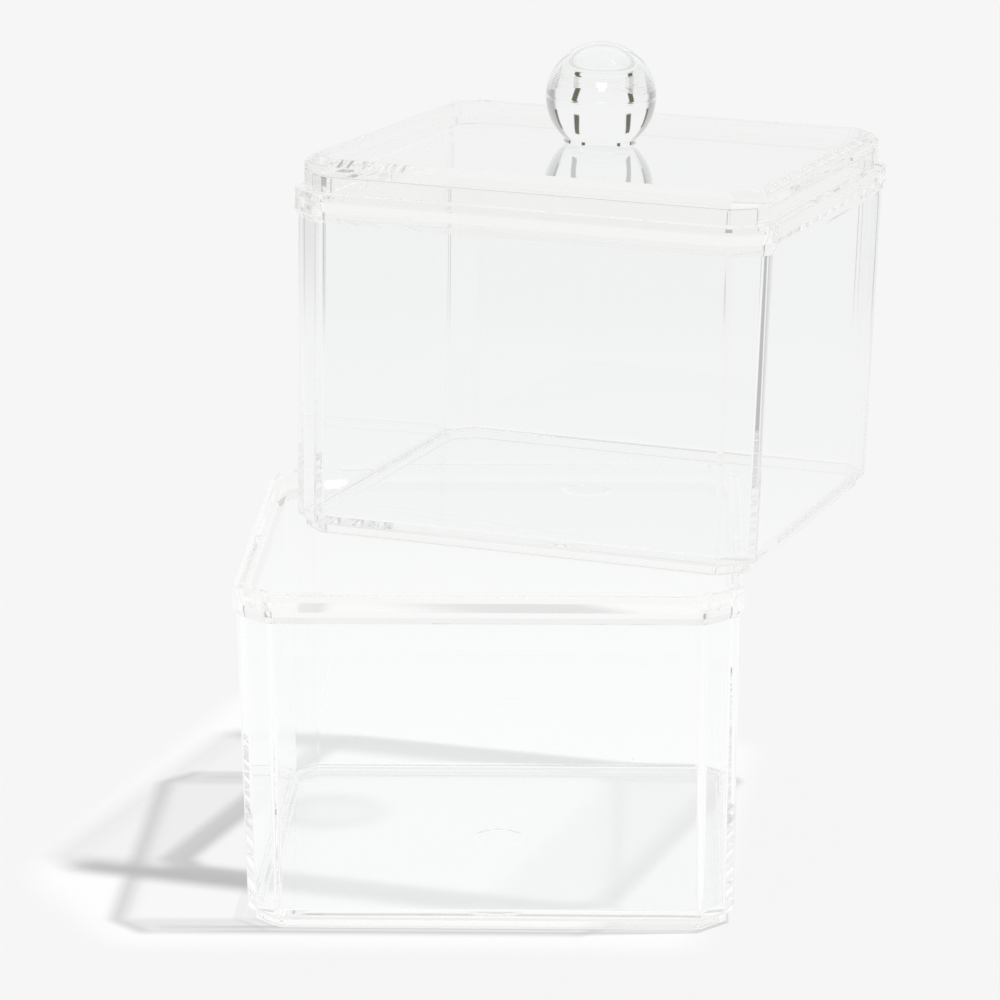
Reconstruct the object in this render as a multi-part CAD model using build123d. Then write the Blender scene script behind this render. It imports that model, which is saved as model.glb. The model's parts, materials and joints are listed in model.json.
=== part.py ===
from build123d import *
from itertools import combinations
from math import atan2, cos, degrees, radians, sin, sqrt
import os

# Two clear moulded boxes with cut corners, stacked askew, with a lid and a ball knob.
# Millimetres, +Z up. Each piece is first made in the box's own frame: middle of the foot at
# the origin, front towards -Y. Angles are in degrees.

# Box, the same moulding twice
box_width = 96.0
box_height = 66.7
corner_cut = 6.8
wall_thickness = 2.5
wall_draft = 0.85
wall_foot_rounding = 1.0
wall_foot_fillet = 0.9

# Collar round the rim, with a land and a rabbet that take the lid or another box
collar_height = 4.3
collar_overhang = 0.8
collar_taper_height = 1.4
rim_land = 2.5
rim_edge_chamfer = 0.25
rabbet_depth = 1.9
lead_in_height = 2.0

# Floor and ring foot
foot_height = 2.0
foot_step = 1.45
foot_width = 2.0
foot_rounding = 1.2
foot_edge_chamfer = 0.3
floor_thickness = 1.45
recess_depth = 1.95
floor_fillet = 0.7
cavity_foot_rounding = 0.8
gate_mark_diameter = 10.5
gate_mark_depth = 0.2

# Lid
lid_margin = 1.9
lid_height = 6.3
lid_bevel = 1.5
lid_edge_fillet = 0.3
lid_plate_thickness = 3.6
lid_seat_gap = 0.1
skirt_depth = 1.8
skirt_clearance = 0.3
skirt_width = 2.2
skirt_lead = 0.3
ceiling_fillet = 0.6
ceiling_rounding = 1.0

# Ball knob, glued in the middle of the lid
ball_diameter = 21.6
ball_centre_height = 9.0
knob_foot_diameter = 14.2
knob_neck_fillet = 0.4
knob_gate_diameter = 2.4

# How the upper box was set down on the lower one
rest_shift_right = 17.7
rest_shift_back = 18.8
rest_turn = -17.0
rest_gap = 0.15

cut_overrun = 1.0
level_tolerance = 0.002

# Sizes that follow: insets are measured in from the collar's outer face
wall_inset = collar_overhang
wall_foot_inset = wall_inset + wall_draft
foot_inset = wall_foot_inset + foot_step
recess_inset = foot_inset + foot_width
cavity_inset = wall_inset + wall_thickness
skirt_inset = rim_land + skirt_clearance
lid_hollow_inset = skirt_inset + skirt_width

collar_bottom = box_height - collar_height
wall_top = collar_bottom - collar_taper_height
rabbet_bottom = box_height - rabbet_depth
cavity_top = rabbet_bottom - lead_in_height
floor_top = recess_depth + floor_thickness

wall_rounding = wall_foot_rounding + wall_draft
collar_rounding = wall_rounding + collar_overhang
cavity_rounding = cavity_foot_rounding + wall_draft
rabbet_rounding = cavity_rounding + cavity_inset - rim_land
skirt_rounding = rabbet_rounding - skirt_clearance

lid_seat = box_height + lid_seat_gap
lid_top = lid_seat + lid_height
lid_ceiling = lid_top - lid_plate_thickness
skirt_bottom = lid_seat - skirt_depth


def octagon(inset, rounding=0):
    """Square plan with cut corners, its sides moved in by the inset and its corners rounded."""
    width = box_width - 2 * inset
    # A cut corner gets shorter by this share as all eight sides move in alike.
    cut = corner_cut - (2 - sqrt(2)) * inset
    plan = chamfer(Rectangle(width, width).vertices(), cut)
    if rounding:
        plan = fillet(plan.vertices(), rounding)
    return plan


def block(plan, start, end, inward=0):
    """Solid from the plan at height start to height end, each side drawn in by inward there."""
    solid = extrude(Pos(0, 0, start) * plan, end - start)
    if inward:
        up = 1 if end > start else -1
        sides = solid.faces().filter_by(Axis.Z, reverse=True)
        neutral = Plane((0, 0, start), z_dir=(0, 0, up))
        solid = draft(sides, neutral, degrees(atan2(inward, abs(end - start))))
    return solid


def ring_edges(solid, height):
    """Level edges of the solid at a height."""
    level = solid.edges().filter_by(lambda edge: edge.bounding_box().size.Z < level_tolerance)
    return level.filter_by_position(Axis.Z, height - level_tolerance, height + level_tolerance)


def box_outside():
    """Collar, drafted wall and ring foot, as one closed block."""
    collar = block(octagon(0, collar_rounding), box_height, collar_bottom)
    collar = chamfer(ring_edges(collar, box_height), rim_edge_chamfer)
    taper = block(octagon(0, collar_rounding), collar_bottom, wall_top, collar_overhang)
    wall = block(octagon(wall_inset, wall_rounding), wall_top, foot_height, wall_draft)
    wall = fillet(ring_edges(wall, foot_height), wall_foot_fillet)
    foot = block(octagon(foot_inset, foot_rounding), floor_top, 0)
    foot = chamfer(ring_edges(foot, 0), foot_edge_chamfer)
    return collar + taper + wall + foot


def box_hollow():
    """Room inside the box: rabbet, lead-in and drafted cavity down to the floor."""
    rabbet = block(octagon(rim_land, rabbet_rounding), box_height + cut_overrun, rabbet_bottom)
    lead_in = block(octagon(rim_land, rabbet_rounding), rabbet_bottom, cavity_top, cavity_inset - rim_land)
    cavity = block(octagon(cavity_inset, cavity_rounding), cavity_top, floor_top, wall_draft)
    cavity = fillet(ring_edges(cavity, floor_top), floor_fillet)
    return rabbet + lead_in + cavity


def make_box():
    """One moulded box: open on top, standing on a ring with a recess inside it."""
    recess = block(octagon(recess_inset, foot_rounding), -cut_overrun, recess_depth)
    gate_mark = Pos(0, 0, recess_depth) * extrude(Circle(gate_mark_diameter / 2), gate_mark_depth)
    return box_outside() - box_hollow() - recess - gate_mark


def make_lid():
    """Lid: bevelled plate that sits on the land, with a skirt that drops into the rabbet."""
    plate = block(octagon(lid_margin), lid_seat, lid_top - lid_bevel)
    bevel = block(octagon(lid_margin), lid_top - lid_bevel, lid_top, lid_bevel)
    shell = plate + bevel
    shown_edges = shell.edges().filter_by_position(Axis.Z, lid_seat + level_tolerance, lid_top)
    shell = fillet(shown_edges, lid_edge_fillet)
    skirt = block(octagon(skirt_inset, skirt_rounding), lid_seat, skirt_bottom + skirt_lead)
    lead = block(octagon(skirt_inset, skirt_rounding), skirt_bottom + skirt_lead, skirt_bottom, skirt_lead)
    hollow = block(octagon(lid_hollow_inset, ceiling_rounding), skirt_bottom - cut_overrun, lid_ceiling)
    hollow = fillet(ring_edges(hollow, lid_ceiling), ceiling_fillet)
    return shell + skirt + lead - hollow


def make_knob():
    """Ball cut off low, on a short round foot, with the flat of its gate at the crown."""
    ball_radius = ball_diameter / 2
    foot_radius = knob_foot_diameter / 2
    gate_radius = knob_gate_diameter / 2
    centre = ball_centre_height
    foot_top = centre - sqrt(ball_radius**2 - foot_radius**2)
    crown = centre + sqrt(ball_radius**2 - gate_radius**2)
    outline = Polyline((gate_radius, crown), (0, crown), (0, 0), (foot_radius, 0), (foot_radius, foot_top))
    ball = ThreePointArc((foot_radius, foot_top), (ball_radius, centre), (gate_radius, crown))
    knob = revolve(make_face(Plane.XZ * (outline + ball)), Axis.Z)
    knob = fillet(ring_edges(knob, foot_top), knob_neck_fillet)
    return Pos(0, 0, lid_top) * knob


def touching_points(land, sole, height):
    """Corners of each patch where part of the upper box's sole lies over the lower rim's land.

    The height is how high the sole's plane would lie if that part alone rested there.
    """
    return [Vector(corner.X, corner.Y, height) for corner in (land & sole).vertices()]


def resting_plane(points, centre):
    """Plane on three of the points, none of the rest above it, that lies lowest at the centre.

    That is how a box settles: its weight takes the middle down as far as the points allow.
    Returns the plane's point under the centre, and its normal.
    """
    lowest = None
    for first, second, third in combinations(points, 3):
        normal = (second - first).cross(third - first)
        if normal.length < level_tolerance**2:
            continue
        normal = normal.normalized()
        if normal.Z < 0:
            normal = -normal
        if normal.Z < level_tolerance:
            continue
        if any((point - first).dot(normal) > level_tolerance for point in points):
            continue
        height = (first - centre).dot(normal) / normal.Z
        if lowest is None or height < lowest[0].Z:
            lowest = (Vector(centre.X, centre.Y, height), normal)
    return lowest


def upper_place():
    """Where the upper box comes to rest, askew on the lower box's rim and leaning."""
    centre = Vector(rest_shift_right, rest_shift_back)
    turned = Pos(centre.X, centre.Y) * Rot(0, 0, rest_turn)
    land = octagon(0) - octagon(rim_land)
    foot = turned * (octagon(foot_inset) - octagon(recess_inset))
    recess = turned * octagon(recess_inset)
    points = touching_points(land, foot, box_height)
    points += touching_points(land, recess, box_height - recess_depth)
    ground, normal = resting_plane(points, centre)
    right = Vector(cos(radians(rest_turn)), sin(radians(rest_turn)))
    return Plane(ground + normal * rest_gap, x_dir=right, z_dir=normal).location


box = make_box()
place = upper_place()
pieces = {
    "lower_box": box,
    "upper_box": place * box,
    "lid": place * make_lid(),
    "knob": place * make_knob(),
}

# The model's origin is under the middle of the whole stack, on the table.
extent = Compound(list(pieces.values())).bounding_box()
to_origin = Pos(-extent.center().X, -extent.center().Y, -extent.min.Z)

os.makedirs("parts", exist_ok=True)
for name, piece in pieces.items():
    export_step(to_origin * piece, f"parts/{name}.step")
print("upper box at", place, "moved by", to_origin)
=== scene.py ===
"""Two clear stacking boxes with cut corners, set down askew, with a lid and a ball knob.

The pieces are lofted from the profiles of the real mouldings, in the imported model's places, and
dressed as clear moulded acrylic. Sizes in the classes are in millimetres unless they say otherwise.
"""

import json
import logging
from dataclasses import dataclass, replace
from enum import Enum
from functools import partial
from math import atan2, cos, pi, radians, sin, sqrt, tan
from typing import Any, Sequence

import bmesh
import bpy
from bpy.types import Material, Mesh, Node, NodeTree, Object
from bpy.types import NodeSocket as Socket
from mathutils import Matrix, Vector


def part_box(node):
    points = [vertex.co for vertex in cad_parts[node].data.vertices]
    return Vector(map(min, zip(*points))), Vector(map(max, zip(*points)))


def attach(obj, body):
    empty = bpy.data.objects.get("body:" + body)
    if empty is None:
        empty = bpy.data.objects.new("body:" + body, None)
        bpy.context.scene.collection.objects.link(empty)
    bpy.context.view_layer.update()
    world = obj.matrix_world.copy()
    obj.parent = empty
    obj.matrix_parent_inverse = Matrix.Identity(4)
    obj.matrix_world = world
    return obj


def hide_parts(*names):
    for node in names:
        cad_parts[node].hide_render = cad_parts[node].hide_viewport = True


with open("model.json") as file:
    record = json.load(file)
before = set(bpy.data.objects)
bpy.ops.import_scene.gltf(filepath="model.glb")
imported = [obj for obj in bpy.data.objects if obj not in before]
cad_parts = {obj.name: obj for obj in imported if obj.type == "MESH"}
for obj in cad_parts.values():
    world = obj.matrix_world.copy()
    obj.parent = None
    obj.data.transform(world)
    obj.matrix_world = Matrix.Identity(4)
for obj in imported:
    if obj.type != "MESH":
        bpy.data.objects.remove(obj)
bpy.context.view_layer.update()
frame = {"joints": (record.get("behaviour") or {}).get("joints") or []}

log = logging.getLogger("clear_boxes")

MM = 0.001

# Numbers on the faces of a piece, for its material
EDGE = "edge"
LAMP_LOSS = "lamp_loss"

# How often light may pass or be mirrored before it is given up
WALL_CROSSINGS = 160
SHADOW_CROSSINGS = 64
PAPER_BOUNCES = 2


class Outline(Enum):
    """Plan of one level of a moulding."""

    CUT_SQUARE = "square with cut corners"
    ROUND = "round"


class Body(Enum):
    """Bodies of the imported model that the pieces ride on."""

    BASE = "base"
    UPPER = "upper"
    COVER = "cover"


@dataclass(frozen=True)
class Turn:
    """One corner of a moulding's profile.

    Attributes:
        reach: Distance from the middle to the side at this level.
        height: Height of the level.
        rounding: Radius of the plan's corners there.
        softness: Radius that rounds the profile's corner.
        outline: Plan of the level.
        loss: Share of a lamp's light that the faces from here to the next corner turn aside.
        loss_along: The same share for the sides that lie along the lamp's light.
        edge: 1 where those faces belong to a rim, a rounding or another narrow part.
    """

    reach: float
    height: float
    rounding: float = 0.0
    softness: float = 0.0
    outline: Outline = Outline.CUT_SQUARE
    loss: float = 0.0
    loss_along: float | None = None
    edge: float = 0.0


@dataclass(frozen=True)
class CutSquare:
    """Square plan with cut corners that every level of a moulding follows."""

    width: float = 96.0
    corner_cut: float = 6.8
    sides: int = 8

    @property
    def reach(self) -> float:
        """Distance from the middle to a side of the largest level."""
        return self.width / 2

    def side_distance(self, side: int, reach: float) -> float:
        """Distance from the middle to one side of a level.

        Args:
            side: Number of the side; the odd ones are the cut corners.
            reach: Distance from the middle to the even sides.

        Returns:
            The distance, with a cut that shrinks as all the sides move in alike.
        """
        if side % 2 == 0:
            return reach
        cut = self.corner_cut - (2 - sqrt(2)) * (self.reach - reach)
        return (2 * reach - cut) / sqrt(2)

    def ring(self, turn: Turn, steps: int) -> list[Vector]:
        """Points round one level.

        Args:
            turn: The level.
            steps: Number of segments at each of the eight corners.

        Returns:
            Points in metres, the same number for every level.
        """
        corner_turn = 2 * pi / self.sides
        points = []
        for side in range(self.sides):
            for step in range(steps + 1):
                if turn.outline is Outline.ROUND:
                    angle = corner_turn * (side + (step + 0.5) / (steps + 1))
                    x, y = turn.reach * cos(angle), turn.reach * sin(angle)
                else:
                    start = corner_turn * side
                    end = start + corner_turn
                    first = self.side_distance(side, turn.reach) - turn.rounding
                    second = self.side_distance(side + 1, turn.reach) - turn.rounding
                    middle_x = (first * sin(end) - second * sin(start)) / sin(corner_turn)
                    middle_y = (second * cos(start) - first * cos(end)) / sin(corner_turn)
                    angle = start + corner_turn * step / steps
                    x = middle_x + turn.rounding * cos(angle)
                    y = middle_y + turn.rounding * sin(angle)
                points.append(Vector((x, y, turn.height)) * MM)
        return points


def soften(turns: Sequence[Turn], steps: int) -> list[Turn]:
    """Rounds the corners of a profile.

    Args:
        turns: Corners of the profile, from one cap to the other.
        steps: Segments of each rounded corner.

    Returns:
        The profile with an arc in place of each corner that has a softness.
    """
    most_share = 0.45
    rounded = [turns[0]]
    for before, turn, after in zip(turns, turns[1:], turns[2:]):
        here = Vector((turn.reach, turn.height))
        back = Vector((before.reach, before.height)) - here
        ahead = Vector((after.reach, after.height)) - here
        if not turn.softness or not back.length or not ahead.length:
            rounded.append(turn)
            continue
        opening = back.angle(ahead)
        setback = min(turn.softness / tan(opening / 2), most_share * back.length, most_share * ahead.length)
        radius = setback * tan(opening / 2)
        middle = here + (back.normalized() + ahead.normalized()).normalized() * radius / sin(opening / 2)
        start = here + back.normalized() * setback - middle
        end = here + ahead.normalized() * setback - middle
        sweep = start.angle(end)
        for step in range(steps + 1):
            share = step / steps
            spoke = (start * sin((1 - share) * sweep) + end * sin(share * sweep)) / sin(sweep)
            point = middle + spoke
            edge = 1.0 if step < steps else turn.edge
            rounded.append(replace(turn, reach=point.x, height=point.y, softness=0.0, edge=edge))
    rounded.append(turns[-1])
    return rounded


@dataclass(frozen=True)
class Moulding:
    """A closed solid lofted through the levels of a profile, with flat caps at both ends."""

    plan: CutSquare
    sides_along: tuple[int, int] = (2, 6)
    corner_steps: int = 12
    profile_steps: int = 6

    def mesh(self, name: str, turns: Sequence[Turn]) -> Mesh:
        """Builds the mesh.

        Args:
            name: Name of the mesh.
            turns: Profile from the cap underneath, round the outside, to the cap on top.

        Returns:
            A closed mesh in metres, shaded smooth.
        """
        profile = soften(turns, self.profile_steps)
        rings = [self.plan.ring(turn, self.corner_steps) for turn in profile]
        form = bmesh.new()
        edge = form.faces.layers.float.new(EDGE)
        loss = form.faces.layers.float.new(LAMP_LOSS)
        levels = [[form.verts.new(point) for point in ring] for ring in rings]
        for turn, lower, upper in zip(profile, levels, levels[1:]):
            for first, second in zip(range(-1, len(lower) - 1), range(len(lower))):
                face = form.faces.new((lower[first], lower[second], upper[second], upper[first]))
                side, step = divmod(second, self.corner_steps + 1)
                on_corner = turn.outline is Outline.CUT_SQUARE and step > 0
                along = turn.loss_along is not None and side in self.sides_along and not on_corner
                face[edge] = max(turn.edge, float(on_corner))
                face[loss] = turn.loss_along if along else turn.loss
        for cap in (levels[0], levels[-1]):
            form.faces.new(cap)
        bmesh.ops.recalc_face_normals(form, faces=form.faces)
        mesh = bpy.data.meshes.new(name)
        form.to_mesh(mesh)
        form.free()
        mesh.shade_smooth()
        return mesh


class Bench:
    """Builds nodes in one node tree in few words."""

    def __init__(self, tree: NodeTree) -> None:
        """Takes the tree that gets the nodes."""
        self.tree = tree

    def node(self, kind: str, settings: dict[str, Any] | None = None, **inputs: Any) -> Node:
        """Adds a node.

        Args:
            kind: Type name without "ShaderNode".
            settings: Attributes of the node.
            **inputs: Values or sockets by input name, with _ for a space, or i0, i1 by place.

        Returns:
            The new node.
        """
        node = self.tree.nodes.new("ShaderNode" + kind)
        for key, value in (settings or {}).items():
            setattr(node, key, value)
        for key, value in inputs.items():
            place = int(key[1:]) if key[0] == "i" and key[1:].isdigit() else key.replace("_", " ")
            socket = node.inputs[place]
            if isinstance(value, Socket):
                self.tree.links.new(value, socket)
            else:
                socket.default_value = value
        return node

    def math(self, operation: str, *terms: Any) -> Socket:
        """Result of a Math node on values or sockets."""
        values = {f"i{place}": term for place, term in enumerate(terms)}
        return self.node("Math", {"operation": operation}, **values).outputs[0]

    def product(self, first: Any, *factors: Any) -> Socket:
        """Multiplies numbers, from the left.

        Args:
            first: The first number or socket.
            *factors: What it is multiplied by, in turn.

        Returns:
            The product.
        """
        result = first
        for factor in factors:
            result = self.math("MULTIPLY", result, factor)
        return result

    def ramp(self, value: Any, low: float, high: float, start: Any = 0.0, end: Any = 1.0) -> Socket:
        """Smooth step of a value from low to high, as a number from start to end."""
        steps = {"interpolation_type": "SMOOTHSTEP"}
        return self.node("MapRange", steps, i0=value, i1=low, i2=high, i3=start, i4=end).outputs[0]

    def rise(self, value: Any, middle: float, soft: float) -> Socket:
        """0 below a number and 1 above it, with a border that is soft each way."""
        return self.ramp(value, middle - soft, middle + soft)

    def fall(self, value: Any, middle: float, soft: float) -> Socket:
        """1 below a number and 0 above it, with a border that is soft each way."""
        return self.ramp(value, middle - soft, middle + soft, 1.0, 0.0)

    def mix(self, share: Any, first: Any, second: Any) -> Socket:
        """Mix of two numbers."""
        return self.node("Mix", {"data_type": "FLOAT"}, i0=share, i2=first, i3=second).outputs[0]

    def blend(self, share: Any, first: Any, second: Any) -> Socket:
        """Mix of two colours."""
        return self.node("Mix", {"data_type": "RGBA"}, i0=share, i6=first, i7=second).outputs[2]

    def grey(self, tone: Any) -> Socket:
        """Grey colour of a tone."""
        return self.node("CombineColor", Red=tone, Green=tone, Blue=tone).outputs[0]


def new_material(name: str) -> tuple[Material, Bench]:
    """Starts a material.

    Args:
        name: Its name.

    Returns:
        The material with no nodes in it, and a bench for it.
    """
    material = bpy.data.materials.new(name)
    material.use_nodes = True
    material.node_tree.nodes.clear()
    return material, Bench(material.node_tree)


class SkinGroup:
    """Shader node group with what moulding and handling leave on a clear surface.

    Its inputs are those in labels. Its outputs are Roughness and Normal. A pair of numbers is where
    a soft border starts and where it ends.
    """

    name = "moulded_skin"
    labels = ("Edge", "Polish", "Edge Roughness", "Wave Height", "Dust", "Dust Roughness")
    wave_scale = 34.0
    wave_detail = 1.0
    wave_grain = 0.4
    rub_scale = 420.0
    rub_detail = 2.0
    rub_border = (0.3, 0.7)
    rub_least = 0.5
    dust_scale = 260.0
    dust_chosen = (0.985, 0.99)
    speck_border = (0.05, 0.09)

    def __init__(self) -> None:
        """Builds the group once for all the materials."""
        tree = bpy.data.node_groups.new(self.name, "ShaderNodeTree")
        for label in self.labels:
            tree.interface.new_socket(label, in_out="INPUT", socket_type="NodeSocketFloat")
        tree.interface.new_socket("Roughness", in_out="OUTPUT", socket_type="NodeSocketFloat")
        tree.interface.new_socket("Normal", in_out="OUTPUT", socket_type="NodeSocketVector")
        self.tree = tree
        bench = Bench(tree)
        given = tree.nodes.new("NodeGroupInput").outputs
        place = bench.node("TexCoord").outputs["Object"]
        roughness = self.roughness(bench, given, place)
        wave = bench.node(
            "TexNoise", Vector=place, Scale=self.wave_scale, Detail=self.wave_detail, Roughness=self.wave_grain
        ).outputs["Fac"]
        bump = bench.node("Bump", Strength=1.0, Distance=given["Wave Height"], Height=wave).outputs["Normal"]
        result = tree.nodes.new("NodeGroupOutput").inputs
        tree.links.new(roughness, result["Roughness"])
        tree.links.new(bump, result["Normal"])

    def roughness(self, bench: Bench, given: Any, place: Socket) -> Socket:
        """Roughness of the surface.

        Args:
            bench: Bench of the group.
            given: Inputs of the group.
            place: Place on the piece.

        Returns:
            The polish, with rubbed edges and specks of dust on it.
        """
        rub = bench.node("TexNoise", Vector=place, Scale=self.rub_scale, Detail=self.rub_detail).outputs["Fac"]
        rubbed = bench.ramp(rub, *self.rub_border, self.rub_least, 1.0)
        edge = bench.product(given["Edge"], rubbed, given["Edge Roughness"])
        cell = bench.node("TexVoronoi", Vector=place, Scale=self.dust_scale)
        chosen = bench.node("SeparateColor", Color=cell.outputs["Color"]).outputs["Red"]
        speck = bench.ramp(cell.outputs["Distance"], *self.speck_border, 1.0, 0.0)
        rare = bench.ramp(chosen, *self.dust_chosen)
        dust = bench.product(speck, rare, given["Dust"], given["Dust Roughness"])
        return bench.math("ADD", bench.math("ADD", given["Polish"], edge), dust)

    def use(self, bench: Bench, **values: Any) -> Any:
        """Adds the group to a material, with its inputs by name, and hands back its outputs."""
        return bench.node("Group", {"node_tree": self.tree}, **values).outputs


@dataclass(frozen=True)
class ClearAcrylic:
    """Clear moulded acrylic.

    Attributes:
        tint: Colour that light takes on in passing a broad face.
        edge_tint: Colour that it takes on in passing an edge, where its way through is long.
        wave_height: Height of the moulding's faint waves, in metres.
        passing: Share of a lamp's light that passes a face.
        passing_all_round: Share of the room's light that passes a face.
        grazing_loss: Share of a lamp's light that a broad face turns aside where it passes at a slant.
        grazing_edge: The same share for the faces of rims and roundings.
        grazing_power: How late that loss comes between the facing values grazing_low and grazing_high.
        mirrorings: Rays with more turns than this behind them pass straight on.
    """

    name: str = "clear_acrylic"
    tint: tuple[float, float, float] = (0.990, 0.9965, 0.9945)
    edge_tint: tuple[float, float, float] = (0.988, 0.989, 0.977)
    index: float = 1.491
    polish: float = 0.0
    edge_roughness: float = 0.012
    wave_height: float = 0.000006
    dust: float = 1.0
    dust_roughness: float = 0.35
    passing: float = 0.99
    passing_all_round: float = 0.998
    grazing_loss: float = 0.67
    grazing_edge: float = 0.9
    grazing_low: float = 0.35
    grazing_high: float = 0.95
    grazing_power: float = 3.5
    mirrorings: float = 32.5

    def build(self, skin: SkinGroup) -> Material:
        """Builds the material.

        Args:
            skin: The group that all clear surfaces share.

        Returns:
            Glass for all that is seen, and a clear pane with dark slants for light on its way to the table.
        """
        material, bench = new_material(self.name)
        edge = bench.node("Attribute", {"attribute_name": EDGE}).outputs["Fac"]
        surface = skin.use(
            bench,
            Edge=edge,
            Polish=self.polish,
            Edge_Roughness=self.edge_roughness,
            Wave_Height=self.wave_height,
            Dust=self.dust,
            Dust_Roughness=self.dust_roughness,
        )
        glass = bench.node(
            "BsdfPrincipled",
            Base_Color=bench.blend(edge, (*self.tint, 1.0), (*self.edge_tint, 1.0)),
            Roughness=surface["Roughness"],
            Normal=surface["Normal"],
            IOR=self.index,
            Transmission_Weight=1.0,
        )
        path = bench.node("LightPath").outputs
        pane = bench.node("BsdfTransparent", Color=self.passed(bench, path, edge))
        passing = bench.math("MAXIMUM", path["Is Shadow Ray"], path["Is Diffuse Ray"])
        passing = bench.math("MAXIMUM", passing, bench.math("GREATER_THAN", path["Ray Depth"], self.mirrorings))
        both = bench.node("MixShader", i0=passing, i1=glass.outputs[0], i2=pane.outputs[0])
        bench.node("OutputMaterial", Surface=both.outputs[0])
        return material

    def passed(self, bench: Bench, path: Any, edge: Socket) -> Socket:
        """Share of light that passes a face on its way to the table.

        Args:
            bench: Bench of the material.
            path: Outputs of its Light Path node.
            edge: 1 on rims and roundings.

        Returns:
            A grey colour, darker for a lamp's light on slanting faces, rims and feet.
        """
        facing = bench.node("LayerWeight").outputs["Facing"]
        slant = bench.math("POWER", bench.ramp(facing, self.grazing_low, self.grazing_high), self.grazing_power)
        slant = bench.product(slant, bench.mix(edge, self.grazing_loss, self.grazing_edge))
        straight = bench.math("SUBTRACT", self.passing, slant)
        loss = bench.node("Attribute", {"attribute_name": LAMP_LOSS}).outputs["Fac"]
        from_lamp = bench.product(straight, bench.math("SUBTRACT", 1.0, loss))
        return bench.grey(bench.mix(path["Is Shadow Ray"], self.passing_all_round, from_lamp))


@dataclass(frozen=True)
class Finishes:
    """Finishes of the pieces.

    Attributes:
        moulded: Clear acrylic of the boxes' thin walls.
        thick: The same for the lid's thick plate.
        polished: Clear acrylic of the ball.
    """

    moulded: Material
    thick: Material
    polished: Material

    @classmethod
    def mixed(cls) -> "Finishes":
        """Mixes the finishes, which share one skin.

        Returns:
            The three of them.
        """
        skin = SkinGroup()
        return cls(
            moulded=ClearAcrylic().build(skin),
            thick=ClearAcrylic(name="thick_acrylic", tint=(0.982, 0.988, 0.986)).build(skin),
            polished=ClearAcrylic(name="polished_acrylic", wave_height=0.0, dust=0.5).build(skin),
        )


def set_down(name: str, mesh: Mesh, place: Matrix, body: Body, node: str) -> Object:
    """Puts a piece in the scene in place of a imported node.

    Args:
        name: Name of the piece.
        mesh: Its mesh, in the box's own frame.
        place: Place of that frame.
        body: Body that it rides on.
        node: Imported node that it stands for.

    Returns:
        The piece.
    """
    piece = bpy.data.objects.new(name, mesh)
    bpy.context.scene.collection.objects.link(piece)
    mesh.transform(place)
    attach(piece, body.value)
    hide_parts(node)
    log.info("%s rides on %s with %d faces", name, body.value, len(mesh.polygons))
    return piece


def finish_off(piece: Object, finish: Material) -> None:
    """Gives a piece its finish and keeps its flat faces flat.

    Args:
        piece: The piece.
        finish: Its material.
    """
    piece.data.materials.append(finish)
    weighted = piece.modifiers.new("flat_faces_stay_flat", "WEIGHTED_NORMAL")
    weighted.keep_sharp = True


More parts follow.
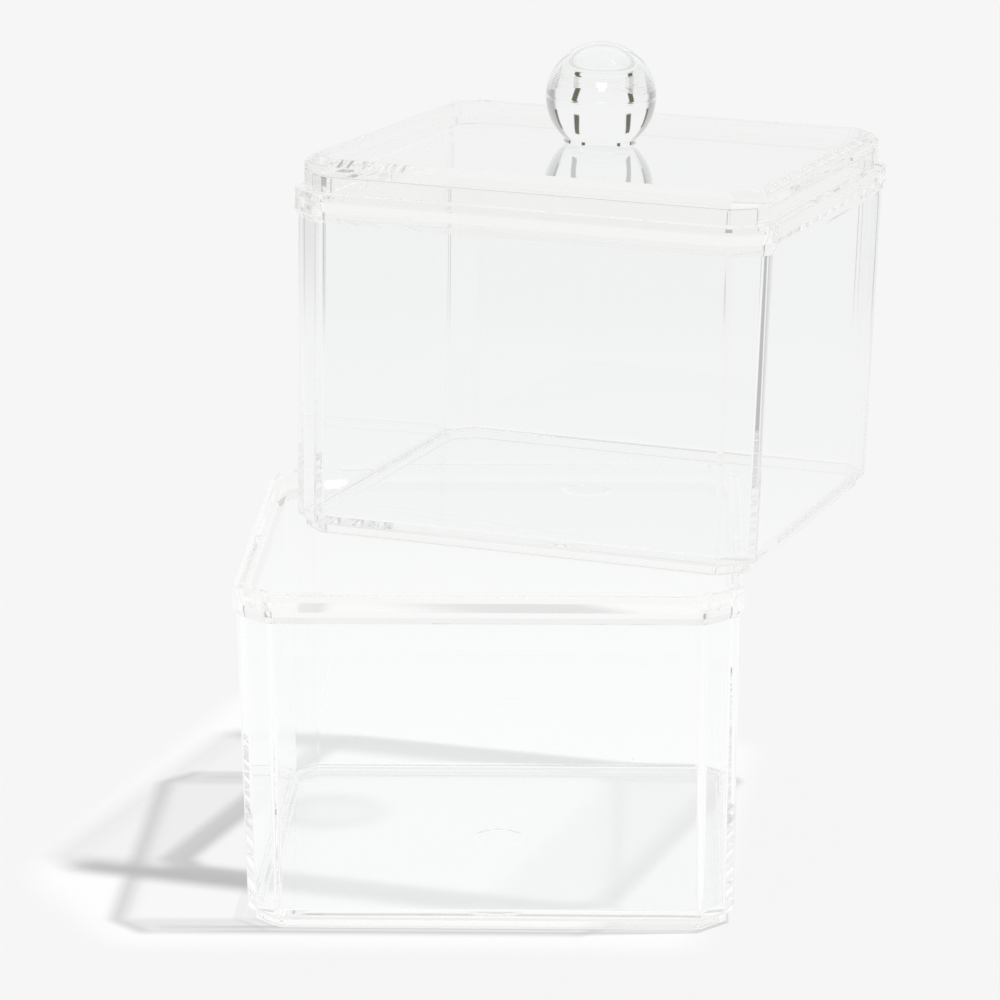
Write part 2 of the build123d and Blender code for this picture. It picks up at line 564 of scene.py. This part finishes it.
@dataclass(frozen=True)
class StackingBox:
    """One of the two boxes: a drafted cut-corner moulding with collar, rabbet and ring foot.

    A rounding is the radius of the plan's corners, and what starts with soft that of an edge.

    Attributes:
        low_wall: Height that the walls' lowest band reaches, which turns light aside with the foot.
        rim_loss: Share of a lamp's light that the collar turns aside. The rabbet's is a third of it.
        rim_along: The same for the sides that lie along the lamp's light.
        land_along: The same for the land on top of those sides.
        foot_loss: Share that the ring foot turns aside. The floor's edge has half of it.
    """

    plan: CutSquare = CutSquare()
    height: float = 66.7
    wall: float = 2.5
    draft: float = 0.85
    collar_overhang: float = 0.8
    collar_bottom: float = 62.4
    wall_top: float = 61.0
    land: float = 2.5
    rabbet_bottom: float = 64.8
    cavity_top: float = 62.8
    foot_reach: float = 44.9
    foot_height: float = 2.0
    recess_reach: float = 42.9
    recess_depth: float = 1.95
    floor_top: float = 3.4
    gate_radius: float = 5.25
    gate_depth: float = 0.2
    gate_border: float = 1.2
    low_wall: float = 7.5
    floor_edge: float = 3.0
    foot_rounding: float = 1.2
    wall_rounding: float = 1.85
    collar_rounding: float = 2.65
    rabbet_rounding: float = 2.45
    lead_in_rounding: float = 1.65
    cavity_rounding: float = 0.8
    floor_rounding: float = 0.4
    soft_gate: float = 0.5
    soft_recess: float = 0.25
    soft_wall_foot: float = 0.9
    soft_wall_top: float = 0.4
    soft_land: float = 0.15
    soft_floor: float = 0.7
    soft_inside: float = 0.2
    soft_outside: float = 0.35
    soft_edge: float = 0.3
    rim_loss: float = 0.54
    rim_along: float = 0.4
    land_along: float = 0.0
    foot_loss: float = 0.15

    def on_draft(self, top_reach: float, height: float) -> tuple[float, float]:
        """Reach and height of a point on a drafted wall, from the wall's reach at its top."""
        share = (height - self.foot_height) / (self.wall_top - self.foot_height)
        return top_reach - self.draft * (1 - share), height

    def turns(self) -> list[Turn]:
        """Profile of the box.

        Returns:
            Levels from the gate mark underneath to the floor inside.
        """
        full = self.plan.reach
        wall = full - self.collar_overhang
        inside = wall - self.wall
        low_inside = inside - self.draft
        low_rounding = self.wall_rounding - self.draft
        gate_top = self.recess_depth + self.gate_depth
        foot = partial(Turn, loss=self.foot_loss, edge=1)
        rim = partial(Turn, loss=self.rim_loss, loss_along=self.rim_along, edge=1)
        rabbet = partial(rim, loss=self.rim_loss / 3)
        floor = partial(Turn, loss=self.foot_loss / 2)
        return [
            Turn(self.gate_radius - 2 * self.gate_border, gate_top, outline=Outline.ROUND),
            Turn(self.gate_radius - self.gate_border, gate_top, 0, self.soft_gate, Outline.ROUND),
            Turn(self.gate_radius, self.recess_depth, 0, self.soft_gate, Outline.ROUND),
            foot(self.recess_reach, self.recess_depth, self.foot_rounding, self.soft_recess),
            foot(self.recess_reach, 0, self.foot_rounding, self.soft_inside),
            foot(self.foot_reach, 0, self.foot_rounding, self.soft_outside),
            foot(self.foot_reach, self.foot_height, self.foot_rounding, self.soft_edge),
            Turn(wall - self.draft, self.foot_height, low_rounding, self.soft_wall_foot, loss=self.foot_loss),
            Turn(*self.on_draft(wall, self.low_wall), low_rounding),
            rim(wall, self.wall_top, self.wall_rounding, self.soft_wall_top),
            rim(full, self.collar_bottom, self.collar_rounding, self.soft_outside),
            Turn(full, self.height, self.collar_rounding, self.soft_edge, loss_along=self.land_along, edge=1),
            rabbet(full - self.land, self.height, self.rabbet_rounding, self.soft_land),
            rabbet(full - self.land, self.rabbet_bottom, self.rabbet_rounding, self.soft_inside),
            Turn(inside, self.cavity_top, self.lead_in_rounding, self.soft_edge),
            floor(*self.on_draft(inside, self.low_wall), self.cavity_rounding),
            floor(low_inside, self.floor_top, self.cavity_rounding, self.soft_floor),
            Turn(low_inside - self.floor_edge, self.floor_top, self.floor_rounding),
        ]

    def build(self, node: str, place: Matrix, body: Body) -> Object:
        """Moulds the box and sets it down on its foot's place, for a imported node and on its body."""
        return set_down(f"{node}_moulding", Moulding(self.plan).mesh(node, self.turns()), place, body, node)

    def dress(self, piece: Object, node: str, finishes: Finishes) -> None:
        """Gives the box the clear finish of its thin walls."""
        finish_off(piece, finishes.moulded)


@dataclass(frozen=True)
class BoxLid:
    """Lid: bevelled plate on the land, with a skirt that drops into the rabbet.

    Attributes:
        loss: Share of a lamp's light that the skirt and the edges turn aside.
        loss_along: The same share for the sides that lie along the lamp's light.
    """

    plan: CutSquare = CutSquare()
    seat: float = 66.8
    thickness: float = 6.3
    margin: float = 1.9
    bevel: float = 1.5
    plate: float = 3.6
    skirt_inset: float = 2.8
    skirt_depth: float = 1.8
    skirt_lead: float = 0.3
    skirt_width: float = 2.2
    ceiling_edge: float = 1.5
    top_edge: float = 4.5
    ceiling_rounding: float = 0.6
    hollow_rounding: float = 1.0
    lead_rounding: float = 1.85
    skirt_rounding: float = 2.15
    edge_rounding: float = 0.3
    top_rounding: float = 0.2
    soft_ceiling: float = 0.6
    soft_hollow: float = 0.15
    soft_skirt: float = 0.1
    soft_seat: float = 0.12
    soft_bevel: float = 0.3
    loss: float = 0.05
    loss_along: float = 0.7

    @property
    def top(self) -> float:
        """Height of the lid's flat top."""
        return self.seat + self.thickness

    def turns(self) -> list[Turn]:
        """Profile of the lid.

        Returns:
            Levels from the ceiling, round under the skirt and up the outside, to the top.
        """
        full = self.plan.reach
        ceiling = self.top - self.plate
        hollow = full - self.skirt_inset - self.skirt_width
        skirt = full - self.skirt_inset
        bottom = self.seat - self.skirt_depth
        edge = full - self.margin
        narrow = partial(Turn, loss=self.loss, loss_along=self.loss_along, edge=1)
        return [
            Turn(hollow - self.ceiling_edge, ceiling, self.ceiling_rounding),
            narrow(hollow, ceiling, self.hollow_rounding, self.soft_ceiling),
            narrow(hollow, bottom, self.hollow_rounding, self.soft_hollow),
            narrow(skirt - self.skirt_lead, bottom, self.lead_rounding, self.soft_skirt),
            narrow(skirt, bottom + self.skirt_lead, self.skirt_rounding, self.soft_skirt),
            narrow(skirt, self.seat, self.skirt_rounding, self.soft_skirt),
            narrow(edge, self.seat, self.edge_rounding, self.soft_seat),
            narrow(edge, self.top - self.bevel, self.edge_rounding, self.soft_bevel),
            Turn(edge - self.bevel, self.top, self.edge_rounding, self.soft_bevel, loss_along=self.loss_along),
            Turn(edge - self.bevel - self.top_edge, self.top, self.top_rounding),
        ]

    def build(self, node: str, place: Matrix, body: Body) -> Object:
        """Moulds the lid and sets it on the rim of the box whose foot's place is given."""
        return set_down("lid_moulding", Moulding(self.plan).mesh(node, self.turns()), place, body, node)

    def dress(self, piece: Object, node: str, finishes: Finishes) -> None:
        """Gives the lid the clear finish of its thick plate."""
        finish_off(piece, finishes.thick)


@dataclass(frozen=True)
class BallKnob:
    """Ball knob on a short round foot, with a parting line and the flat of its gate on top.

    Attributes:
        centre: Height of the ball's middle above the lid.
        foot_gap: Height that the foot stands clear of the lid.
        parting_levels: Levels that draw the parting line, in widths from its middle.
        loss: Share of a lamp's light that the ball turns aside at each face.
    """

    plan: CutSquare = CutSquare()
    radius: float = 10.8
    centre: float = 9.0
    foot_radius: float = 7.1
    neck: float = 0.35
    gate_radius: float = 1.2
    foot_gap: float = 0.02
    foot_border: float = 0.6
    foot_softness: float = 0.15
    parting_height: float = 0.14
    parting_width: float = 0.2
    parting_fall: float = 2.718
    parting_levels: tuple[float, ...] = (-2, -1, -0.5, 0, 0.5, 1, 2)
    arcs: int = 120
    corner_steps: int = 23
    loss: float = 0.35

    def turns(self, seat: float) -> list[Turn]:
        """Profile from under the foot to the crown.

        Args:
            seat: Height of the lid's top.

        Returns:
            Round levels, closest together at the parting line.
        """
        start = -sqrt(self.radius**2 - self.foot_radius**2)
        end = sqrt(self.radius**2 - self.gate_radius**2)
        low, high = atan2(start, self.foot_radius), atan2(end, self.gate_radius)
        angles = [low + (high - low) * step / self.arcs for step in range(1, self.arcs + 1)]
        angles += [level * self.parting_width / self.radius for level in self.parting_levels]
        base = seat + self.foot_gap
        middle = base + self.centre
        on_ball = partial(Turn, outline=Outline.ROUND, loss=self.loss)
        levels = [
            Turn(self.foot_radius - self.foot_border, base, outline=Outline.ROUND),
            Turn(self.foot_radius, base, 0, self.foot_softness, Outline.ROUND),
            Turn(self.foot_radius, middle + start, 0, self.neck, Outline.ROUND),
        ]
        for angle in sorted(angles):
            away = angle * self.radius / self.parting_width
            reach = self.radius + self.parting_height * self.parting_fall ** (-away * away)
            levels.append(on_ball(reach * cos(angle), middle + reach * sin(angle)))
        return levels

    def build(self, node: str, seat: float, place: Matrix, body: Body) -> Object:
        """Turns the ball and sets it on the lid, whose top is as high as the seat."""
        moulding = Moulding(self.plan, corner_steps=self.corner_steps)
        return set_down("ball_knob", moulding.mesh(node, self.turns(seat)), place, body, node)

    def dress(self, piece: Object, node: str, finishes: Finishes) -> None:
        """Gives the knob its polish."""
        finish_off(piece, finishes.polished)


def standing_place() -> Vector:
    """Middle of the lower box's foot, on the table, in metres."""
    low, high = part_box("lower_box")
    return Vector(((low.x + high.x) / 2, (low.y + high.y) / 2, low.z))


@dataclass(frozen=True)
class Stack:
    """The two boxes, the lid and the knob in their places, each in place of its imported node.

    Attributes:
        upper_place: Place of the upper box's foot.
        right: The way that the upper box's right side faces.
    """

    lower: StackingBox
    upper: StackingBox
    lid: BoxLid
    knob: BallKnob
    upper_place: tuple[float, float, float] = (2.92414, 3.6065, 66.5024)
    right: tuple[float, float, float] = (0.955818, -0.293080, -0.022712)

    def upper_matrix(self) -> Matrix:
        """Place of the upper box and all that is on it.

        Returns:
            Its matrix in metres, leaning as the lid's slide says.
        """
        slide = next(joint for joint in frame["joints"] if joint["name"] == "lid_lift")
        up = Vector(slide["axis"]).normalized()
        right = Vector(self.right)
        right = (right - up * right.dot(up)).normalized()
        back = up.cross(right)
        turn = Matrix((right, back, up)).transposed().to_4x4()
        return Matrix.Translation(Vector(self.upper_place) * MM) @ turn

    def build(self) -> None:
        """Builds the four pieces in their places, then dresses them."""
        low, high = Matrix.Translation(standing_place()), self.upper_matrix()
        lower = self.lower.build("lower_box", low, Body.BASE)
        upper = self.upper.build("upper_box", high, Body.UPPER)
        lid = self.lid.build("lid", high, Body.COVER)
        knob = self.knob.build("knob", self.lid.top, high, Body.COVER)
        finishes = Finishes.mixed()
        self.lower.dress(lower, "lower_box", finishes)
        self.upper.dress(upper, "upper_box", finishes)
        self.lid.dress(lid, "lid", finishes)
        self.knob.dress(knob, "knob", finishes)


@dataclass(frozen=True)
class Room:
    """What the clear pieces see all round: pale screens, dark gaps between them, dimmer sides.

    Angles are in degrees, and azimuths count from the way the camera looks. Tones are linear. A
    border is soft by so much each way.

    Attributes:
        view_azimuth: The way the camera looks, from +Y.
        side_mirrored: Tone of the sides for rays with more mirrorings behind them.
        side_through: Their tone where plain walls alone are in the way.
        gap_azimuth: Azimuth of the gaps ahead, low down.
        gap_spread: How much further out they stand high up.
        window: Tone of the window behind, which a single mirroring shows.
        pane_low: Lower edge of the narrow pane under it.
        ball_crossings: Rays that passed fewer faces came through the ball, or one wall, alone.
    """

    view_azimuth: float = -2.4
    screen: float = 0.905
    behind: float = 0.84
    ceiling: float = 0.55
    ceiling_low: float = 48.0
    ceiling_high: float = 70.0
    side: float = 0.42
    side_mirrored: float = 0.5
    side_through: float = 0.87
    side_low: float = 46.0
    side_high: float = 110.0
    side_soft: float = 4.0
    behind_soft: float = 10.0
    gap: tuple[float, float, float] = (0.09, 0.093, 0.05)
    gap_azimuth: float = 20.0
    gap_spread: float = 5.0
    gap_spread_low: float = 3.0
    gap_spread_high: float = 33.0
    gap_width: float = 4.6
    gap_soft: float = 0.3
    gap_low: float = 4.5
    gap_high: float = 25.0
    window: float = 5.0
    window_azimuth: float = 177.0
    window_width: float = 20.0
    window_low: float = 27.0
    window_high: float = 38.0
    pane_low: float = 20.0
    pane_share: float = 0.4
    soft: float = 1.0
    ball_crossings: float = 2.5

    def azimuth(self, bench: Bench, way: Socket) -> Socket:
        """Azimuth of a direction from the camera's, in radians."""
        parts = bench.node("SeparateXYZ", i0=way).outputs
        return bench.math("SUBTRACT", bench.math("ARCTAN2", parts["X"], parts["Y"]), radians(self.view_azimuth))

    def straight(self, bench: Bench, path: Any, mirrors: int) -> Socket:
        """1 for rays that no more than so many mirrorings sent on their way."""
        return bench.math("LESS_THAN", path["Glossy Depth"], mirrors + 0.5)

    def by_ball(self, bench: Bench, path: Any) -> Socket:
        """1 for rays that came through the ball, or one wall, alone."""
        return bench.math("LESS_THAN", path["Transmission Depth"], self.ball_crossings)

    def band(self, bench: Bench, value: Any, low: float, high: float) -> Socket:
        """1 between two angles in degrees, with soft ends, for a value in radians."""
        soft = radians(self.soft)
        return bench.product(bench.rise(value, radians(low), soft), bench.fall(value, radians(high), soft))

    def turned(self, bench: Bench, azimuth: Socket, path: Any) -> Socket:
        """Azimuth for the gaps, which stand behind as they do ahead for rays without a mirroring.

        Args:
            bench: Bench of the material or world that shows it.
            azimuth: Azimuth that is shaded.
            path: Outputs of the Light Path node.

        Returns:
            Its angle in radians from straight ahead, or from straight behind where that is nearer.
        """
        ahead = bench.math("ABSOLUTE", azimuth)
        opposite = bench.math("MINIMUM", ahead, bench.math("SUBTRACT", pi, ahead))
        return bench.mix(self.straight(bench, path, 0), ahead, opposite)

    def gap_mask(self, bench: Bench, turned: Socket, middle: Any) -> Socket:
        """Mask of the gaps at one azimuth.

        Args:
            bench: Bench of the material or world that shows it.
            turned: Azimuth that is shaded, as turned gives it.
            middle: Azimuth of the gaps, in radians.

        Returns:
            1 in the gaps and 0 elsewhere.
        """
        half = radians(self.gap_width) / 2
        away = bench.math("ABSOLUTE", bench.math("SUBTRACT", turned, middle))
        return bench.fall(away, half, half * self.gap_soft)

    def with_gap(self, bench: Bench, gap: Socket, tone: Socket) -> Socket:
        """Colour of a grey tone with the dark gaps in it."""
        return bench.blend(gap, bench.grey(tone), (*self.gap, 1.0))

    def sides(self, bench: Bench, azimuth: Socket, screen: Any, path: Any, straight: Socket) -> Socket:
        """Tone of the screen ahead, the dimmer sides and the room behind the camera.

        Args:
            bench: Bench of the material or world that shows them.
            azimuth: Azimuth that is shaded.
            screen: Tone ahead.
            path: Outputs of the Light Path node.
            straight: 1 for rays with few mirrorings behind them.

        Returns:
            The tone.
        """
        walls = bench.math("SUBTRACT", 1.0, self.by_ball(bench, path))
        plain = bench.product(self.straight(bench, path, 0), walls)
        side = bench.mix(plain, bench.mix(straight, self.side_mirrored, self.side), self.side_through)
        turn = bench.math("ABSOLUTE", azimuth)
        from_side = bench.rise(turn, radians(self.side_low), radians(self.side_soft))
        past_side = bench.rise(turn, radians(self.side_high), radians(self.behind_soft))
        return bench.mix(from_side, screen, bench.mix(past_side, side, self.behind))

    def gaps_above(self, bench: Bench, azimuth: Socket, height: Socket, path: Any) -> Socket:
        """Mask of the gaps above the table: two ahead, and one at the start of each side.

        Args:
            bench: Bench of the material or world that shows it.
            azimuth: Azimuth that is shaded.
            height: Angle above the table, in radians.
            path: Outputs of the Light Path node.

        Returns:
            1 in the gaps and 0 elsewhere.
        """
        low, high = radians(self.gap_spread_low), radians(self.gap_spread_high)
        inner, outer = radians(self.gap_azimuth), radians(self.gap_azimuth + self.gap_spread)
        middle = bench.ramp(height, low, high, inner, outer)
        turned = self.turned(bench, azimuth, path)
        at_side = self.gap_mask(bench, turned, radians(self.side_low))
        gap = bench.math("MAXIMUM", self.gap_mask(bench, turned, middle), at_side)
        return bench.product(gap, self.band(bench, height, self.gap_low, self.gap_high))

    def window_mask(self, bench: Bench, azimuth: Socket, height: Socket) -> Socket:
        """Mask of the window behind the camera and the narrow pane under it.

        Args:
            bench: Bench of the material or world that shows it.
            azimuth: Azimuth that is shaded.
            height: Angle above the table, in radians.

        Returns:
            1 in the window and the pane, and 0 elsewhere.
        """
        ahead = bench.math("ABSOLUTE", azimuth)
        beside = bench.math("ABSOLUTE", bench.math("SUBTRACT", ahead, radians(self.window_azimuth)))
        half, soft = radians(self.window_width) / 2, radians(self.soft)
        above = self.band(bench, height, self.window_low, self.window_high)
        window = bench.product(bench.fall(beside, half, soft), above)
        below = self.band(bench, height, self.pane_low, self.window_low)
        pane = bench.product(bench.fall(beside, half * self.pane_share, soft), below)
        return bench.math("MAXIMUM", window, pane)

    def colour(self, bench: Bench, way: Socket, path: Any) -> Socket:
        """Colour of the room in a direction above the table.

        Args:
            bench: Bench of the world.
            way: The direction.
            path: Outputs of the world's Light Path node.

        Returns:
            The colour.
        """
        azimuth = self.azimuth(bench, way)
        height = bench.math("ARCSINE", bench.node("SeparateXYZ", i0=way).outputs["Z"])
        straight = self.straight(bench, path, 1)
        mirrored = bench.math("SUBTRACT", path["Is Glossy Ray"], path["Is Transmission Ray"])
        mirrored = bench.math("MAXIMUM", mirrored, 0.0)
        tone = self.sides(bench, azimuth, self.screen, path, straight)
        overhead = bench.ramp(height, radians(self.ceiling_low), radians(self.ceiling_high))
        tone = bench.mix(overhead, tone, self.ceiling)
        window = bench.product(self.window_mask(bench, azimuth, height), mirrored, straight)
        gap = bench.product(self.gaps_above(bench, azimuth, height, path), straight, self.by_ball(bench, path))
        return self.with_gap(bench, gap, bench.mix(window, tone, self.window))


@dataclass(frozen=True)
class Tabletop:
    """Pale table that the boxes stand on. Lengths are in metres, angles in degrees, tones linear.

    The softness of the gaps' ends and of the sides' start is a share of the distance.

    Attributes:
        room: The room, whose sides and gaps go on over the table.
        tone: Tone for the eye.
        near_tone: Tone that the clear pieces show of the table, up to the near depth.
        far_tone: Tone that they show of it, from the far depth on.
        veil: Share of a shadow that clear walls in front of it veil.
        painted_glow_tone: Tone of the painted patch of light round the boxes, which stands for light that their
            walls throw.
        painted_glow_corners: Its corners, counterclockwise.
        gap_near: Distance at which the gaps start, seen through the ball.
        gap_near_walls: The same, seen through walls.
        gap_far_azimuth: Azimuth that they tend to far away.
        gap_lean: How much nearer the middle they are a metre away, in radians.
        gap_walls: Their strength, seen through walls.
        side_near: Distance at which the dimmer sides start.
    """

    room: Room = Room()
    size: float = 6.0
    tone: float = 0.9216
    near_tone: float = 1.0
    far_tone: float = 0.90
    near: float = -0.05
    far: float = 0.40
    veil: float = 0.5
    # Painted light: a brighter patch of table round the boxes, standing for light that their clear walls throw.
    painted_glow_tone: float = 0.99
    painted_glow_soft: float = 0.006
    painted_glow_corners: tuple[tuple[float, float], ...] = (
        (-0.085, -0.07),
        (0.024, -0.07),
        (0.037, 0.0528),
        (-0.076, 0.087),
        (-0.107, -0.0322),
    )
    gap_near: float = 0.44
    gap_near_walls: float = 0.5
    gap_far: float = 2.2
    gap_ends: float = 0.1
    gap_far_azimuth: float = 23.5
    gap_lean: float = 0.05
    gap_walls: float = 0.6
    side_near: float = 0.65
    side_soft: float = 0.15

    def build(self) -> None:
        """Lays the table under the stack."""
        form = bmesh.new()
        bmesh.ops.create_grid(form, x_segments=1, y_segments=1, size=self.size / 2)
        mesh = bpy.data.meshes.new("tabletop")
        form.to_mesh(mesh)
        form.free()
        table = bpy.data.objects.new("tabletop", mesh)
        bpy.context.scene.collection.objects.link(table)
        mesh.materials.append(self.material())

    def depth(self, bench: Bench, place: Socket, path: Any) -> Socket:
        """How far behind the stack a place lies, or in front of it for rays without a mirroring.

        Args:
            bench: Bench of the material.
            place: Place on the table.
            path: Outputs of the Light Path node.

        Returns:
            The distance in metres.
        """
        parts = bench.node("SeparateXYZ", i0=place).outputs
        facing = bench.math("SUBTRACT", 2 * self.near, parts["Y"])
        either = bench.math("MAXIMUM", parts["Y"], facing)
        return bench.mix(self.room.straight(bench, path, 0), parts["Y"], either)

    def gap_mask(self, bench: Bench, azimuth: Socket, away: Socket, path: Any) -> Socket:
        """Mask of the room's gaps where they go on over the table.

        Args:
            bench: Bench of the material.
            azimuth: Azimuth of the place.
            away: Its distance from the middle.
            path: Outputs of the Light Path node.

        Returns:
            Strength of the gaps, 0 outside them.
        """
        by_ball = self.room.by_ball(bench, path)
        share = bench.math("DIVIDE", away, bench.mix(by_ball, self.gap_near_walls, self.gap_near))
        inner = bench.rise(share, 1.0, self.gap_ends)
        outer = bench.fall(away, self.gap_far, self.gap_far * self.gap_ends)
        lean = bench.math("DIVIDE", self.gap_lean, away)
        middle = bench.math("SUBTRACT", radians(self.gap_far_azimuth), lean)
        gap = self.room.gap_mask(bench, self.room.turned(bench, azimuth, path), middle)
        strength = bench.product(self.room.straight(bench, path, 0), bench.mix(by_ball, self.gap_walls, 1.0))
        return bench.product(inner, outer, gap, strength)

    def shown(self, bench: Bench, place: Socket, path: Any) -> Socket:
        """Colour of the table where it is seen through the clear pieces or mirrored in them.

        Args:
            bench: Bench of the material.
            place: Place on the table.
            path: Outputs of the Light Path node.

        Returns:
            The colour.
        """
        tone = bench.ramp(self.depth(bench, place, path), self.near, self.far, self.near_tone, self.far_tone)
        away = bench.node("VectorMath", {"operation": "LENGTH"}, i0=place).outputs["Value"]
        azimuth = self.room.azimuth(bench, place)
        outside = bench.rise(away, self.side_near, self.side_near * self.side_soft)
        straight = self.room.straight(bench, path, 0)
        tone = bench.mix(outside, tone, self.room.sides(bench, azimuth, tone, path, straight))
        return self.room.with_gap(bench, self.gap_mask(bench, azimuth, away, path), tone)

    def painted_glow_mask(self, bench: Bench, place: Socket) -> Socket:
        """Mask of the painted patch of light round the boxes, which stands for light that the clear walls
        throw.

        Args:
            bench: Bench of the material.
            place: Place on the table.

        Returns:
            1 inside the patch and 0 outside it, with soft borders.
        """
        parts = bench.node("SeparateXYZ", i0=place).outputs
        mask: Any = 1.0
        for (x, y), (next_x, next_y) in zip(self.painted_glow_corners, self.painted_glow_corners[1:] + self.painted_glow_corners[:1]):
            along = Vector((next_x - x, next_y - y)).normalized()
            one, other = bench.product(parts["X"], along.y), bench.product(parts["Y"], along.x)
            across = bench.math("SUBTRACT", bench.math("SUBTRACT", one, other), x * along.y - y * along.x)
            mask = bench.product(mask, bench.fall(across, 0.0, self.painted_glow_soft))
        return mask

    def material(self) -> Material:
        """Mixes the table's material.

        Returns:
            Matt paper with a painted patch of light round the boxes, a little brighter where it is seen through
            the clear boxes close by.
        """
        material, bench = new_material("pale_table")
        place = bench.node("TexCoord").outputs["Object"]
        path = bench.node("LightPath").outputs
        through = bench.math("MAXIMUM", path["Is Transmission Ray"], path["Is Glossy Ray"])
        shown = self.shown(bench, place, path)
        # Painted light: the table's own colour is brighter in a patch round the boxes, for light that their
        # clear walls throw.
        plain = bench.grey(bench.mix(self.painted_glow_mask(bench, place), self.tone, self.painted_glow_tone))
        paper = bench.node("BsdfDiffuse", Color=bench.blend(through, plain, shown))
        mirrored = bench.math("MINIMUM", path["Glossy Depth"], 1.0)
        veil = bench.product(bench.mix(mirrored, self.veil, 1.0), through)
        even = bench.node("Emission", Color=shown, Strength=1.0)
        both = bench.node("MixShader", i0=veil, i1=paper.outputs[0], i2=even.outputs[0])
        bench.node("OutputMaterial", Surface=both.outputs[0])
        return material


@dataclass(frozen=True)
class Studio:
    """Light: one lamp high on the right, and the room that the clear pieces show.

    Attributes:
        lamp_share: Share of the light on the table that comes from the lamp.
        lamp_lean: How far it stands to the right and back for each length up.
    """

    lamp_share: float = 0.48
    lamp_lean: tuple[float, float] = (0.378, 0.003)
    lamp_width: float = 2.4
    backdrop: float = 0.9216
    room: Room = Room()

    def build(self) -> None:
        """Hangs the lamp and builds the room."""
        way = Vector((*self.lamp_lean, 1.0))
        data = bpy.data.lights.new("high_lamp", "SUN")
        data.energy = self.lamp_share * pi * way.length
        data.angle = radians(self.lamp_width)
        lamp = bpy.data.objects.new("high_lamp", data)
        bpy.context.scene.collection.objects.link(lamp)
        lamp.rotation_mode = "QUATERNION"
        lamp.rotation_quaternion = way.to_track_quat("Z", "Y")
        lamp.location = way
        self.world()

    def world(self) -> None:
        """Even light on matt things; the pale backdrop for the eye; the room for clear pieces."""
        world = bpy.data.worlds.new("pale_room")
        world.use_nodes = True
        world.cycles.sampling_method = "NONE"
        bpy.context.scene.world = world
        bench = Bench(world.node_tree)
        world.node_tree.nodes.clear()
        path = bench.node("LightPath").outputs
        through = bench.math("MAXIMUM", path["Is Transmission Ray"], path["Is Glossy Ray"])
        shown = self.room.colour(bench, bench.node("TexCoord").outputs["Generated"], path)
        plain = bench.grey(bench.mix(path["Is Camera Ray"], 1 - self.lamp_share, self.backdrop))
        sky = bench.node("Background", Color=bench.blend(through, plain, shown), Strength=1.0)
        bench.node("OutputWorld", Surface=sky.outputs[0])


@dataclass(frozen=True)
class Viewpoint:
    """The camera, placed from the middle of the lower box's foot. Its angles are in degrees."""

    place: tuple[float, float, float] = (34.450, -810.519, 288.608)
    yaw: float = 2.376
    pitch: float = -14.925
    roll: float = -0.459
    lens: float = 154.470
    sensor: float = 36.0
    farthest: float = 50.0

    def build(self) -> None:
        """Sets up the camera."""
        data = bpy.data.cameras.new("viewpoint")
        data.lens = self.lens
        data.sensor_width = self.sensor
        data.clip_end = self.farthest
        camera = bpy.data.objects.new("viewpoint", data)
        bpy.context.scene.collection.objects.link(camera)
        stand = Matrix.Translation(standing_place() + Vector(self.place) * MM)
        aim = Matrix.Rotation(radians(self.yaw), 4, "Z") @ Matrix.Rotation(radians(90 + self.pitch), 4, "X")
        camera.matrix_world = stand @ aim @ Matrix.Rotation(radians(self.roll), 4, "Z")
        bpy.context.scene.camera = camera


def set_up_render() -> None:
    """Lets light pass through as many clear walls as the stack has, and keeps colours plain."""
    scene = bpy.context.scene
    scene.view_settings.view_transform = "Standard"
    scene.cycles.max_bounces = WALL_CROSSINGS
    scene.cycles.transmission_bounces = WALL_CROSSINGS
    scene.cycles.glossy_bounces = WALL_CROSSINGS
    scene.cycles.diffuse_bounces = PAPER_BOUNCES
    scene.cycles.transparent_max_bounces = SHADOW_CROSSINGS


def main() -> None:
    """Builds the stack, the table, the light and the camera."""
    logging.basicConfig(level=logging.INFO, format="%(name)s: %(message)s")
    upper_box = StackingBox(rim_loss=0.05, rim_along=0.5, land_along=0.4, foot_loss=0.65)
    Stack(StackingBox(), upper_box, BoxLid(), BallKnob()).build()
    Tabletop().build()
    Studio().build()
    Viewpoint().build()
    set_up_render()


if __name__ == "__main__":
    main()
